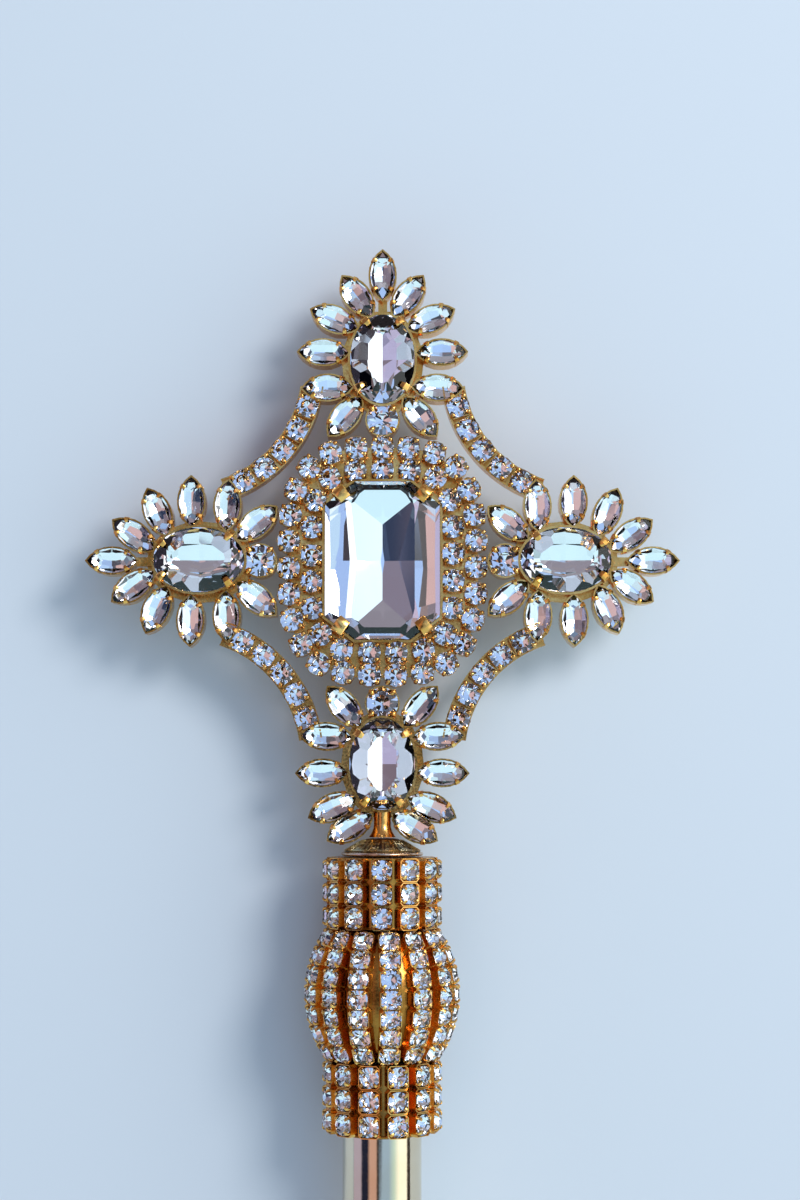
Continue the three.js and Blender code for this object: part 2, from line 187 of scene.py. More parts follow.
def plated(name, bright, deep, clouds, polish, rubbed, relief):
    """A metal finish: two colours, the clouds' scale, the polished and rubbed roughness, and how deep
    the rubbing is, in millimetres."""
    material, nodes, links = new_material(name)
    shader = nodes["Principled BSDF"]
    shader.inputs["Metallic"].default_value = 1.0
    wear = nodes.new("ShaderNodeGroup")
    wear.node_tree = HANDLED_METAL
    given = {"Bright": (*bright, 1), "Deep": (*deep, 1), "Clouds": clouds, "Polish": polish,
             "Rubbed": rubbed}
    for name_of_input, value in given.items():
        wear.inputs[name_of_input].default_value = value
    bump = nodes.new("ShaderNodeBump")
    bump.inputs["Distance"].default_value = relief * MM
    links.new(wear.outputs["Colour"], shader.inputs["Base Color"])
    links.new(wear.outputs["Roughness"], shader.inputs["Roughness"])
    links.new(wear.outputs["Relief"], bump.inputs["Height"])
    links.new(bump.outputs["Normal"], shader.inputs["Normal"])
    return material


GOLD = plated("gold_plating", (0.90, 0.53, 0.17), (0.66, 0.30, 0.06), 260, 0.12, 0.32, 0.01)

OUTER_RING = {"half_width": 14.6, "half_height": 17.8, "power": 3.2, "stones": 27}
INNER_RING = {"half_width": 11.0, "half_height": 14.3, "power": 4.0, "stones": 21}
CUP = {"radius": 1.86, "sides": 16, "wall": 0.14, "hollow": 2.0, "narrowing": 0.6, "above_back": 0.3}
STONE_RADIUS = 1.78
OUTLINE_STEPS = 2000  # how finely a ring's outline is measured


def squared(value, ring):
    """Pushes a circle's sine or cosine outwards, as the ring's `power` says."""
    return math.copysign(abs(value) ** (2 / ring["power"]), value)


def ring_places(ring):
    """Evenly spaced places on a rounded rectangle, clockwise from the top, each facing along it."""
    points = []
    for step in range(OUTLINE_STEPS + 1):
        angle = step / OUTLINE_STEPS * 2 * math.pi
        across, along = squared(math.sin(angle), ring), squared(math.cos(angle), ring)
        points.append(Vector((ring["half_width"] * across, ring["half_height"] * along, 0)))
    travelled = [0.0]
    for here, there in zip(points, points[1:]):
        travelled.append(travelled[-1] + (there - here).length)
    places = []
    step = 0
    for stone in range(ring["stones"]):
        wanted = travelled[-1] * stone / ring["stones"]
        while travelled[step + 1] < wanted:
            step += 1
        along = points[step + 1] - points[step]
        facing = math.atan2(along.y, along.x)
        places.append(Matrix.Translation(points[step]) @ Matrix.Rotation(facing, 4, "Z"))
    return places


def sink(shape, face, wall, depth, narrowing):
    """Leaves a wall round a face and sinks the rest of it."""
    bmesh.ops.inset_region(shape, faces=[face], thickness=wall, use_even_offset=True)
    pulled = bmesh.ops.extrude_face_region(shape, geom=[face])
    floor_verts = moved(pulled, bmesh.types.BMVert)
    middle = sum((vert.co for vert in floor_verts), Vector()) / len(floor_verts)
    bmesh.ops.translate(shape, vec=(0, 0, -depth), verts=floor_verts)
    bmesh.ops.scale(shape, vec=(narrowing, narrowing, 1), space=Matrix.Translation(-middle),
                    verts=floor_verts)
    bmesh.ops.delete(shape, geom=[face], context="FACES_ONLY")


def top_face(shape):
    return max(shape.faces, key=lambda face: face.calc_center_median().z)


def bead(radius, length, height):
    """A prong's end, pushed over the stone."""
    shape = bmesh.new()
    bmesh.ops.create_uvsphere(shape, u_segments=8, v_segments=5, radius=radius)
    bmesh.ops.scale(shape, vec=(length, 1, height), verts=shape.verts)
    return mesh_of(shape, "bead")


BEAD = bead(0.36, 1.25, 1.15)
BEAD_ANGLES = (43, 137, 223, 317)
BEAD_PLACE = (CUP["radius"] - 0.22, 0, 0.3)
POST_PLACE = (CUP["radius"] - 0.02, 0, -0.3)
POST_STRETCH = (0.6, 1, 2.0, 1)


def round_cup():
    """A turned cup, its four prongs round the rim."""
    shape = bmesh.new()
    depth = -BACK - CUP["above_back"]
    bmesh.ops.create_cone(shape, cap_ends=True, segments=CUP["sides"], radius1=CUP["radius"],
                          radius2=CUP["radius"], depth=depth)
    bmesh.ops.translate(shape, vec=(0, 0, -depth / 2), verts=shape.verts)
    sink(shape, top_face(shape), CUP["wall"], CUP["hollow"], CUP["narrowing"])
    for angle in BEAD_ANGLES:
        turn = turn_about("Z", angle)
        stamp(shape, BEAD, turn @ Matrix.Translation(BEAD_PLACE))
        stamp(shape, BEAD, turn @ Matrix.Translation(POST_PLACE) @ Matrix.Diagonal(POST_STRETCH))
    return mesh_of(shape, "round_cup")


ROUND_CUP = round_cup()


PLATE = {"thickness": 0.9, "margin": 0.3, "corner": 12, "border": 5.6, "bed": 0.78}


def medallion_plate():
    """The stamped plate that carries the cups: broad round corners, and a sunk bed for the centre."""
    slab = bmesh.new()
    bmesh.ops.create_cube(slab, size=1)
    width = 2 * (OUTER_RING["half_width"] + PLATE["margin"])
    height = 2 * (OUTER_RING["half_height"] + PLATE["margin"])
    bmesh.ops.scale(slab, vec=(width, height, PLATE["thickness"]), verts=slab.verts)
    bmesh.ops.translate(slab, vec=(0, 0, BACK + PLATE["thickness"] / 2), verts=slab.verts)
    corners = [edge for edge in slab.edges if abs(edge.verts[0].co.z - edge.verts[1].co.z) > 0.1]
    bmesh.ops.bevel(slab, geom=corners, affect="EDGES", offset=PLATE["corner"], segments=10, profile=0.5,
                    material=-1)
    sink(slab, top_face(slab), PLATE["border"], PLATE["bed"], 1.0)
    return slab


medallion = medallion_plate()
ring_stone_places = ring_places(OUTER_RING) + ring_places(INNER_RING)
for place in ring_stone_places:
    stamp(medallion, ROUND_CUP, place)
put(medallion, RIMS)
set_piece(medallion, "medallion_setting", ["head_frame"], [GOLD])

# ---- The medallion's small stones ----
# Round chatons of clear lead glass with silver foil behind. Each flat is ground on a wheel: the girdle
# first, then the crown, then the underside that gets the foil.

CLEAR, FOIL = 0, 1  # a crystal's two finishes: polished glass in front, silver behind
HAZE_SCALE = 400
HAZE_EDGES = (0.6, 0.8)
HAZE_ROUGHNESS = 0.04
FOIL_CLOUDS = 160


def crystal_glass():
    material, nodes, links = new_material("polished_crystal")
    shader = nodes["Principled BSDF"]
    shader.inputs["Base Color"].default_value = (0.97, 0.985, 1.0, 1)
    shader.inputs["Transmission Weight"].default_value = 1.0
    shader.inputs["IOR"].default_value = 1.54
    place = nodes.new("ShaderNodeTexCoord")
    haze = noise(nodes, links, place, HAZE_SCALE)
    amount = spread(nodes, links, haze.outputs["Fac"], *HAZE_EDGES, 0.0, HAZE_ROUGHNESS)
    links.new(amount.outputs["Result"], shader.inputs["Roughness"])
    return material


def silver_foil():
    material, nodes, links = new_material("silver_foil")
    shader = nodes["Principled BSDF"]
    shader.inputs["Metallic"].default_value = 1.0
    shader.inputs["Roughness"].default_value = 0.02
    place = nodes.new("ShaderNodeTexCoord")
    cloud = noise(nodes, links, place, FOIL_CLOUDS)
    tint = nodes.new("ShaderNodeMix")
    tint.data_type = "RGBA"
    tint.inputs["A"].default_value = (0.97, 0.97, 1.0, 1)
    tint.inputs["B"].default_value = (0.95, 0.9, 0.93, 1)
    links.new(cloud.outputs["Fac"], tint.inputs["Factor"])
    links.new(tint.outputs["Result"], shader.inputs["Base Color"])
    return material


GLASS = crystal_glass()
SILVER = silver_foil()
GIRDLE = 0.04  # half of the upright band round a stone's widest line, as a share of its width


def rough_block(width, length, top, bottom):
    """A sawn block of glass, foiled underneath, with the girdle's level at zero."""
    block = bmesh.new()
    bmesh.ops.create_cube(block, size=1)
    bmesh.ops.scale(block, vec=(width, length, top + bottom), verts=block.verts)
    bmesh.ops.translate(block, vec=(0, 0, (top - bottom) / 2), verts=block.verts)
    for face in block.faces:
        face.normal_update()
        face.material_index = FOIL if face.normal.z < -0.5 else CLEAR
    return block


def azimuths(count, offset=0.0):
    """Evenly spaced directions in degrees, the first one `offset` of a step on from 0."""
    return [(step + offset) * 360 / count for step in range(count)]


def in_one_finish(shape, finish=0):
    for face in shape.faces:
        face.material_index = finish


def grind(stone, azimuth, slope, reach, height=0.0, finish=CLEAR):
    """Grinds one flat. `slope` is its angle from the level: 0 on top, 90 upright, 180 underneath.
    At `height` it stands off the axis by `reach`."""
    turn, tilt = math.radians(azimuth), math.radians(slope)
    outwards = Vector((math.cos(turn), math.sin(turn), 0))
    normal = outwards * math.sin(tilt) + Vector((0, 0, math.cos(tilt)))
    bmesh.ops.bisect_plane(stone, geom=whole(stone), dist=1e-5, plane_no=normal, clear_outer=True,
                           plane_co=outwards * reach + Vector((0, 0, height)))
    rim = [edge for edge in stone.edges if edge.is_boundary]
    if rim:
        made = bmesh.ops.contextual_create(stone, geom=rim)
        for face in made["faces"]:
            face.material_index = finish


def polished(stone):
    bmesh.ops.remove_doubles(stone, verts=stone.verts, dist=1e-4)
    bmesh.ops.recalc_face_normals(stone, faces=stone.faces)
    return stone


ROUND_CUT = {"flats": 8, "crown": 38, "pavilion": 43, "star": 38, "star_reach": 0.44, "star_depth": 0.06}


def round_crystal(width, crown, pavilion):
    """A round stone; its star is the set of flats that meet in the point underneath."""
    stone = rough_block(width, width, crown, pavilion)
    band = GIRDLE * width / 2
    for azimuth in azimuths(ROUND_CUT["flats"], 0.5):
        grind(stone, azimuth, 90, width / 2)
        grind(stone, azimuth, ROUND_CUT["crown"], width / 2, band)
    for azimuth in azimuths(ROUND_CUT["flats"], 0.5):
        grind(stone, azimuth, 180 - ROUND_CUT["pavilion"], width / 2, -band, FOIL)
    for azimuth in azimuths(ROUND_CUT["flats"]):
        grind(stone, azimuth, 180 - ROUND_CUT["star"], width * ROUND_CUT["star_reach"],
              -width * ROUND_CUT["star_depth"], FOIL)
    return polished(stone)


SMALL_STONE = mesh_of(round_crystal(2 * STONE_RADIUS, 0.72, 1.6), "small_stone")
SMALL_STONE_LEAN = 5
SMALL_STONE_RISE = 0.05
setter = random.Random(11)


def hand_set(most_lean):
    """How a stone sits after setting by hand: turned anyhow, and leaning by up to so many degrees."""
    lean_x = turn_about("X", setter.uniform(-most_lean, most_lean))
    lean_y = turn_about("Y", setter.uniform(-most_lean, most_lean))
    return lean_x @ lean_y @ Matrix.Rotation(setter.uniform(0, math.pi), 4, "Z")


ring_stones = bmesh.new()
for place in ring_stone_places:
    seat = place @ Matrix.Translation((0, 0, SMALL_STONE_RISE))
    stamp(ring_stones, SMALL_STONE, seat @ hand_set(SMALL_STONE_LEAN))
put(ring_stones, RIMS)
set_piece(ring_stones, "medallion_stones", ["head_frame"], [GLASS, SILVER], None)

# ---- The centre crystal and its setting ----
# A cut-corner rectangle of the same glass, 18 by 25 mm. It sits in an eight-sided collet, and four stout
# claws fold over its cut corners.

CENTRE = {"width": 17.8, "length": 24.6, "crown": 2.5, "pavilion": 3.4, "lift": 0.5}
CORNER_REACH = 12.34
CORNER_AZIMUTH = 51.95
CORNERS = [CORNER_AZIMUTH, 180 - CORNER_AZIMUTH, 180 + CORNER_AZIMUTH, 360 - CORNER_AZIMUTH]
CORNER_SIDES = [(1, 1), (-1, 1), (-1, -1), (1, -1)]
CENTRE_BAND = 0.15
CORNER_SLOPES = {"crown": 46, "pavilion": 40}
SIDE_SLOPES = {"crown": 31, "facet": 34, "facet_lean": 14, "facet_reach": 1.3, "pavilion": 45}
END_SLOPES = {"crown": 64, "facet": 40, "facet_reach": -0.25, "facet_height": 1.3, "pavilion": 50}
# The broad foiled flats: each starts at a reach and height to the right or left of the keel, and each
# pair is spread by so many degrees either way.
KEEL_SLOPES = {"outer": 13, "inner": 17}
KEEL_RIGHT = {"reach": 2.6, "height": -2.87, "inner_spread": 2.3}
KEEL_LEFT = {"reach": 4.06, "height": -2.53, "inner_spread": 4.6}
KEEL_SPREAD = 8
KEEL_ENDS = [(90, 18, -1.15), (270, 16, -1.5)]  # azimuth, slope and height at the stone's end


def both_ways(angle):
    return (-angle, angle)


def centre_crystal():
    stone = rough_block(CENTRE["width"], CENTRE["length"], CENTRE["crown"], CENTRE["pavilion"])
    side, end, band = CENTRE["width"] / 2, CENTRE["length"] / 2, CENTRE_BAND
    for azimuth in CORNERS:
        grind(stone, azimuth, 90, CORNER_REACH)
        grind(stone, azimuth, CORNER_SLOPES["crown"], CORNER_REACH, band)
    for azimuth in (0, 180):
        grind(stone, azimuth, SIDE_SLOPES["crown"], side, band)
        for lean in both_ways(SIDE_SLOPES["facet_lean"]):
            grind(stone, azimuth + lean, SIDE_SLOPES["facet"], side + SIDE_SLOPES["facet_reach"], band)
    for azimuth in (90, 270):
        grind(stone, azimuth, END_SLOPES["crown"], end, band)
        grind(stone, azimuth, END_SLOPES["facet"], end + END_SLOPES["facet_reach"],
              END_SLOPES["facet_height"])
    outer, inner = 180 - KEEL_SLOPES["outer"], 180 - KEEL_SLOPES["inner"]
    for lean in both_ways(KEEL_SPREAD):
        grind(stone, lean, outer, KEEL_RIGHT["reach"], KEEL_RIGHT["height"], FOIL)
        grind(stone, 180 + lean, outer, KEEL_LEFT["reach"], KEEL_LEFT["height"], FOIL)
    for azimuth, flats in ((0, KEEL_RIGHT), (180, KEEL_LEFT)):
        for lean in both_ways(flats["inner_spread"]):
            grind(stone, azimuth + lean, inner, flats["reach"], flats["height"], FOIL)
    for azimuth, slope, height in KEEL_ENDS:
        grind(stone, azimuth, 180 - slope, end, height, FOIL)
    for azimuth in (0, 180):
        grind(stone, azimuth, 180 - SIDE_SLOPES["pavilion"], side, -band, FOIL)
    for azimuth in (90, 270):
        grind(stone, azimuth, 180 - END_SLOPES["pavilion"], end, -band, FOIL)
    for azimuth in CORNERS:
        grind(stone, azimuth, 180 - CORNER_SLOPES["pavilion"], CORNER_REACH, -band, FOIL)
    return polished(stone)


def seat_stone(stone, node, name, girdle, turn=0.0, lean=(0.0, 0.0)):
    """Turns a stone about its own axis, leans it a little, and sets it over its node's middle."""
    middle = middle_of(node)
    place = Matrix.Translation((middle.x, middle.y, girdle))
    lean_x = turn_about("X", lean[0])
    lean_y = turn_about("Y", lean[1])
    seat = place @ (lean_x @ lean_y) @ Matrix.Rotation(turn, 4, "Z") @ Matrix.Scale(MM, 4)
    put(stone, seat)
    return set_piece(stone, name, [node], [GLASS, SILVER], None)


def girdle_of(node, crown):
    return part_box(node)[1].z - crown * MM


SHARP_OVER = 50  # degrees: a claw's edges that bend more than this are filed round
CLAW_SOFTENING = 0.28  # by this share of its thickness


def claw(width, thickness, path):
    """A strip bent along `path`, given as distance outwards, height and share of the full width."""
    strip = bmesh.new()
    bmesh.ops.create_grid(strip, x_segments=1, y_segments=1, size=0.5)
    out, up, share = path[0]
    bmesh.ops.scale(strip, vec=(thickness, width * share, 1), verts=strip.verts)
    bmesh.ops.translate(strip, vec=(out, 0, up), verts=strip.verts)
    end = strip.faces[:]
    heading = 0.0  # how far the strip has bent inwards so far
    for (out, up, share), (next_out, next_up, next_share) in zip(path, path[1:]):
        pulled = bmesh.ops.extrude_face_region(strip, geom=end)
        verts = moved(pulled, bmesh.types.BMVert)
        end = moved(pulled, bmesh.types.BMFace)
        new_heading = math.atan2(out - next_out, next_up - up)
        bmesh.ops.translate(strip, vec=(next_out - out, 0, next_up - up), verts=verts)
        centre = Matrix.Translation((-next_out, 0, -next_up))
        bmesh.ops.rotate(strip, cent=(next_out, 0, next_up), verts=verts,
                         matrix=Matrix.Rotation(heading - new_heading, 3, "Y"))
        bmesh.ops.scale(strip, vec=(1, next_share / share, 1), space=centre, verts=verts)
        heading = new_heading
    bmesh.ops.recalc_face_normals(strip, faces=strip.faces)
    edges = [edge for edge in strip.edges if edge.calc_face_angle(0) > math.radians(SHARP_OVER)]
    bmesh.ops.bevel(strip, geom=edges, affect="EDGES", offset=thickness * CLAW_SOFTENING, segments=2,
                    profile=0.5, material=-1)
    return mesh_of(strip, "claw")


CENTRE_CLAW = claw(2.0, 0.55, [(0.75, -2.2, 1), (0.85, -0.2, 1), (0.75, 0.8, 1), (0.35, 1.5, 1),
                               (-0.3, 1.95, 1), (-1.0, 2.0, 0.98), (-1.5, 1.8, 0.95)])


COLLET = {"wall": 0.45, "rim": 0.4, "below_girdle": 0.25, "depth": 3.75, "hollow": 3.38, "narrowing": 0.92}
CLAW_INSETS = (4.6, 3.6)  # how far in from the stone's width and length the claws stand, both sides together


def centre_setting():
    """The collet, an eight-sided wall under the girdle, with the claws at its cut corners."""
    collet = rough_block(CENTRE["width"] + 2 * COLLET["wall"], CENTRE["length"] + 2 * COLLET["wall"],
                         -COLLET["below_girdle"], COLLET["depth"])
    for azimuth in CORNERS:
        grind(collet, azimuth, 90, CORNER_REACH + COLLET["wall"])
    in_one_finish(collet)
    sink(collet, top_face(collet), COLLET["rim"], COLLET["hollow"], COLLET["narrowing"])
    across, along = (CENTRE["width"] - CLAW_INSETS[0]) / 2, (CENTRE["length"] - CLAW_INSETS[1]) / 2
    for azimuth, (x, y) in zip(CORNERS, CORNER_SIDES):
        turn = turn_about("Z", azimuth)
        stamp(collet, CENTRE_CLAW, Matrix.Translation((x * across, y * along, 0)) @ turn)
    place = RIMS @ Matrix.Translation((0, 0, CENTRE["lift"]))
    put(collet, place)
    return collet


set_piece(centre_setting(), "centre_setting", ["head_frame"], [GOLD])
centre_girdle = girdle_of("centre_crystal", CENTRE["crown"])
seat_stone(centre_crystal(), "centre_crystal", "centre_stone", centre_girdle)

# ---- The flowers' settings ----
# Each flower is a ring of stamped cups brazed to a flange round the oval's taller cup, with a round cup
# towards the medallion. Small claws, raised from the cups' walls, fold over the stones.

QUARTER_TURNS = {"top": 0, "left": 1, "bottom": 2, "right": 3}
REACH = {"top": 31.5, "left": 28.4, "bottom": 31.5, "right": 28.4}
OVAL = {"width": 10.0, "length": 14.0, "crown": 2.1, "pavilion": 3.2, "lift": 1.2}
LINK = {"width": 4.9, "crown": 1.1, "pavilion": 1.9, "inwards": 9.35}
PETAL = {"width": 3.8, "length": 7.6, "crown": 1.1, "pavilion": 1.9}
PETAL_LEANS = [-50, -2, 1, 23, 54]  # degrees, from the pair by the link stone out to the pair by the tip
FOOT_PETAL_LEAN = 31  # the bottom flower's last pair, which makes room for the stem
STALK = {"width": 1.4, "thickness": 1.6, "from": 6.8, "to": 10.6}


def navette_flats(width, length, count):
    """The azimuth and reach of each flat round a pointed oval."""
    side, half = width / 2, length / 2
    radius = (half * half + side * side) / (2 * side)
    spread = math.asin(half / radius)
    for flat in range(count):
        angle = spread * (2 * (flat + 0.5) / count - 1)
        reach = radius - (radius - side) * math.cos(angle)
        yield math.degrees(angle), reach
        yield 180 + math.degrees(angle), reach


def oval_reach(width, length, azimuth):
    turn = math.radians(azimuth)
    return math.hypot(width / 2 * math.cos(turn), length / 2 * math.sin(turn))


PETAL_WALL = 0.32
PETAL_CUP_SIZES = {"rim": 0.25, "hollow": 2.4, "narrowing": 0.8, "flats": 8, "below_girdle": 0.08}
PETAL_CLAW = claw(0.75, 0.24, [(0.15, -2.4, 1.2), (0.2, -0.1, 1), (0.1, 0.45, 0.95), (-0.25, 0.72, 0.8),
                               (-0.6, 0.62, 0.6)])
PETAL_CLAW_SHARES = (-0.52, 0.52)  # the claws' places along each side: its middle is 0, its tips -1 and 1


def petal_cup():
    """A pointed cup with four claws, two on each side of its belly."""
    sizes = PETAL_CUP_SIZES
    width, length = PETAL["width"] + 2 * PETAL_WALL, PETAL["length"] + 2.4 * PETAL_WALL
    cup = rough_block(width, length, -sizes["below_girdle"], -BACK)
    for azimuth, reach in navette_flats(width, length, sizes["flats"]):
        grind(cup, azimuth, 90, reach)
    in_one_finish(cup)
    sink(cup, top_face(cup), sizes["rim"], sizes["hollow"], sizes["narrowing"])
    radius = (length ** 2 / 4 + width ** 2 / 4) / width
    for share in PETAL_CLAW_SHARES:
        azimuth = math.degrees(math.asin(0.5 * length / radius) * share)
        for side, facing in ((1, azimuth), (-1, 180 - azimuth)):
            x = side * (radius * math.cos(math.radians(azimuth)) - (radius - width / 2))
            y = radius * math.sin(math.radians(azimuth))
            place = Matrix.Translation((x, y, 0)) @ turn_about("Z", facing)
            stamp(cup, PETAL_CLAW, place @ Matrix.Translation((-0.2, 0, 0)))
    return mesh_of(cup, "petal_cup")


PETAL_CUP = petal_cup()
OVAL_CLAW = claw(1.25, 0.4, [(0.45, -3.4, 1.1), (0.5, -0.2, 1), (0.4, 0.6, 1), (0.05, 1.15, 0.95),
                             (-0.45, 1.4, 0.85), (-0.95, 1.25, 0.6)])
OVAL_CLAW_ANGLES = (57, 123, -42, -138)
OVAL_CUP_SIZES = {"wider": 0.8, "rim": 0.35, "hollow": 3.6, "narrowing": 0.85, "flats": 28,
                  "below_girdle": 0.12}
FLANGE = {"wider": 2.7, "blank_width": 15.4, "blank_length": 19.2, "thickness": 1.1}


def oval_wall(shape, wider):
    """Grinds a block upright all round, to an oval so much wider than the oval stone."""
    for azimuth in azimuths(OVAL_CUP_SIZES["flats"], 0.5):
        grind(shape, azimuth, 90, oval_reach(OVAL["width"] + wider, OVAL["length"] + wider, azimuth))


def oval_cup():
    """The tall cup round an oval, on a flange that reaches under the petals' cups."""
    sizes = OVAL_CUP_SIZES
    shape = rough_block(OVAL["width"] + sizes["wider"], OVAL["length"] + sizes["wider"],
                        -sizes["below_girdle"], OVAL["lift"] - BACK)
    oval_wall(shape, sizes["wider"])
    sink(shape, top_face(shape), sizes["rim"], sizes["hollow"], sizes["narrowing"])
    flange = rough_block(FLANGE["blank_width"], FLANGE["blank_length"],
                         -OVAL["lift"] + BACK + FLANGE["thickness"], OVAL["lift"] - BACK)
    oval_wall(flange, FLANGE["wider"])
    stamp(shape, mesh_of(flange, "flange"), Matrix())
    for degrees in OVAL_CLAW_ANGLES:
        angle = math.radians(degrees)
        x, y = OVAL["width"] / 2 * math.cos(angle), OVAL["length"] / 2 * math.sin(angle)
        outwards = math.atan2(y / OVAL["length"] ** 2, x / OVAL["width"] ** 2)
        stamp(shape, OVAL_CLAW, Matrix.Translation((x, y, 0)) @ Matrix.Rotation(outwards, 4, "Z"))
    in_one_finish(shape)
    return mesh_of(shape, "oval_cup")


OVAL_CUP = oval_cup()


LINK_CUP_SIZES = {"wall": 0.28, "rim": 0.25, "hollow": 2.3, "narrowing": 0.6, "sides": 20,
                  "below_rims": 0.05}
LINK_BEAD_STRETCH = (1.4, 1.2, 1.1, 1)


def link_cup():
    sizes = LINK_CUP_SIZES
    shape = bmesh.new()
    depth, radius = -BACK, LINK["width"] / 2 + sizes["wall"]
    bmesh.ops.create_cone(shape, cap_ends=True, segments=sizes["sides"], radius1=radius, radius2=radius,
                          depth=depth)
    bmesh.ops.translate(shape, vec=(0, 0, -depth / 2 - sizes["below_rims"]), verts=shape.verts)
    sink(shape, top_face(shape), sizes["rim"], sizes["hollow"], sizes["narrowing"])
    for angle in azimuths(4, 0.5):
        spot = turn_about("Z", angle) @ Matrix.Translation((radius - 0.4, 0, 0.4))
        stamp(shape, BEAD, spot @ Matrix.Diagonal(LINK_BEAD_STRETCH))
    return mesh_of(shape, "link_cup")


LINK_CUP = link_cup()
petal_places = {}
for arm, quarter in QUARTER_TURNS.items():
    for side, sign in (("left", -1), ("right", 1)):
        for pair, usual_lean in enumerate(PETAL_LEANS):
            lean = FOOT_PETAL_LEAN if arm == "bottom" and pair == len(PETAL_LEANS) - 1 else usual_lean
            turn = sign * math.radians(lean - 90) + quarter * math.pi / 2
            petal_places[f"petal_{arm}_{side}_{pair + 1}"] = turn
    if arm != "bottom":
        petal_places[f"petal_{arm}_tip"] = quarter * math.pi / 2

for arm, quarter in QUARTER_TURNS.items():
    flower_place = RIMS @ Matrix.Rotation(quarter * math.pi / 2, 4, "Z")
    flower_place = flower_place @ Matrix.Translation((0, REACH[arm], 0))
    flower = bmesh.new()
    stamp(flower, OVAL_CUP, flower_place @ Matrix.Translation((0, 0, OVAL["lift"])))
    stamp(flower, LINK_CUP, flower_place @ Matrix.Translation((0, -LINK["inwards"], 0)))
    for node, turn in petal_places.items():
        if node.startswith(f"petal_{arm}_"):
            middle = middle_of(node)
            seat = Matrix.Translation((middle.x, middle.y, RIMS.translation.z))
            seat = seat @ Matrix.Rotation(turn, 4, "Z") @ Matrix.Scale(MM, 4)
            stamp(flower, PETAL_CUP, seat)
    if arm != "bottom":
        length = STALK["to"] - STALK["from"]
        stalk = rough_block(STALK["width"], length, BACK + STALK["thickness"], -BACK)
        in_one_finish(stalk)
        spot = flower_place @ Matrix.Translation((0, STALK["from"] + length / 2, 0))
        stamp(flower, mesh_of(stalk, "stalk"), spot)
    set_piece(flower, f"flower_setting_{arm}", ["head_frame"], [GOLD])

# ---- The petals ----
# Pointed ovals of 4 by 8 mm, eleven round each flower and ten round the one that the stem passes. They
# are set by hand, so no two lean quite alike.


PETAL_CUT = {"girdle": 6, "flats": 4, "band": 0.1, "crown": 44, "crown_end": 30, "crown_end_in": 0.6}
PETAL_UNDER = {"edge": 45, "keel": 12, "keel_spread": 14, "keel_reach": 1.3, "keel_height": -0.72,
               "end": 17, "end_in": 0.5, "end_height": -0.35}
PETAL_LEAN = 6


def petal_crystal():
    width, length, band = PETAL["width"], PETAL["length"], PETAL_CUT["band"]
    stone = rough_block(width, length, PETAL["crown"], PETAL["pavilion"])
    for azimuth, reach in navette_flats(width, length, PETAL_CUT["girdle"]):
        grind(stone, azimuth, 90, reach)
    for azimuth, reach in navette_flats(width, length, PETAL_CUT["flats"]):
        grind(stone, azimuth, PETAL_CUT["crown"], reach, band)
    for azimuth in (90, 270):
        grind(stone, azimuth, PETAL_CUT["crown_end"], length / 2 - PETAL_CUT["crown_end_in"], band)
    for azimuth, reach in navette_flats(width, length, PETAL_CUT["flats"]):
        grind(stone, azimuth, 180 - PETAL_UNDER["edge"], reach, -band, FOIL)
    for azimuth in (0, 180):
        for lean in both_ways(PETAL_UNDER["keel_spread"]):
            grind(stone, azimuth + lean, 180 - PETAL_UNDER["keel"], PETAL_UNDER["keel_reach"],
                  PETAL_UNDER["keel_height"], FOIL)
    for azimuth in (90, 270):
        grind(stone, azimuth, 180 - PETAL_UNDER["end"], length / 2 - PETAL_UNDER["end_in"],
              PETAL_UNDER["end_height"], FOIL)
    return polished(stone)


for node, turn in petal_places.items():
    lean = (setter.uniform(*both_ways(PETAL_LEAN)), setter.uniform(*both_ways(PETAL_LEAN)))
    seat_stone(petal_crystal(), node, node.replace("petal", "petal_stone"),
               girdle_of(node, PETAL["crown"]), turn, lean)

# ---- The oval and link crystals ----
# An oval of 10 by 14 mm in the heart of each flower, and a round of 5 mm between it and the medallion,
# both foiled behind.


OVAL_CUT = {"girdle": 20, "flats": 10, "band": 0.15, "crown": 43, "star": 33, "star_in": 0.5,
            "star_height": 0.6}
OVAL_UNDER = {"edge": 52, "height": -0.5, "side": 28, "side_spread": 16, "side_in": 0.3,
              "shoulder": 34, "shoulder_spread": 48, "end": 36, "end_in": 0.4}


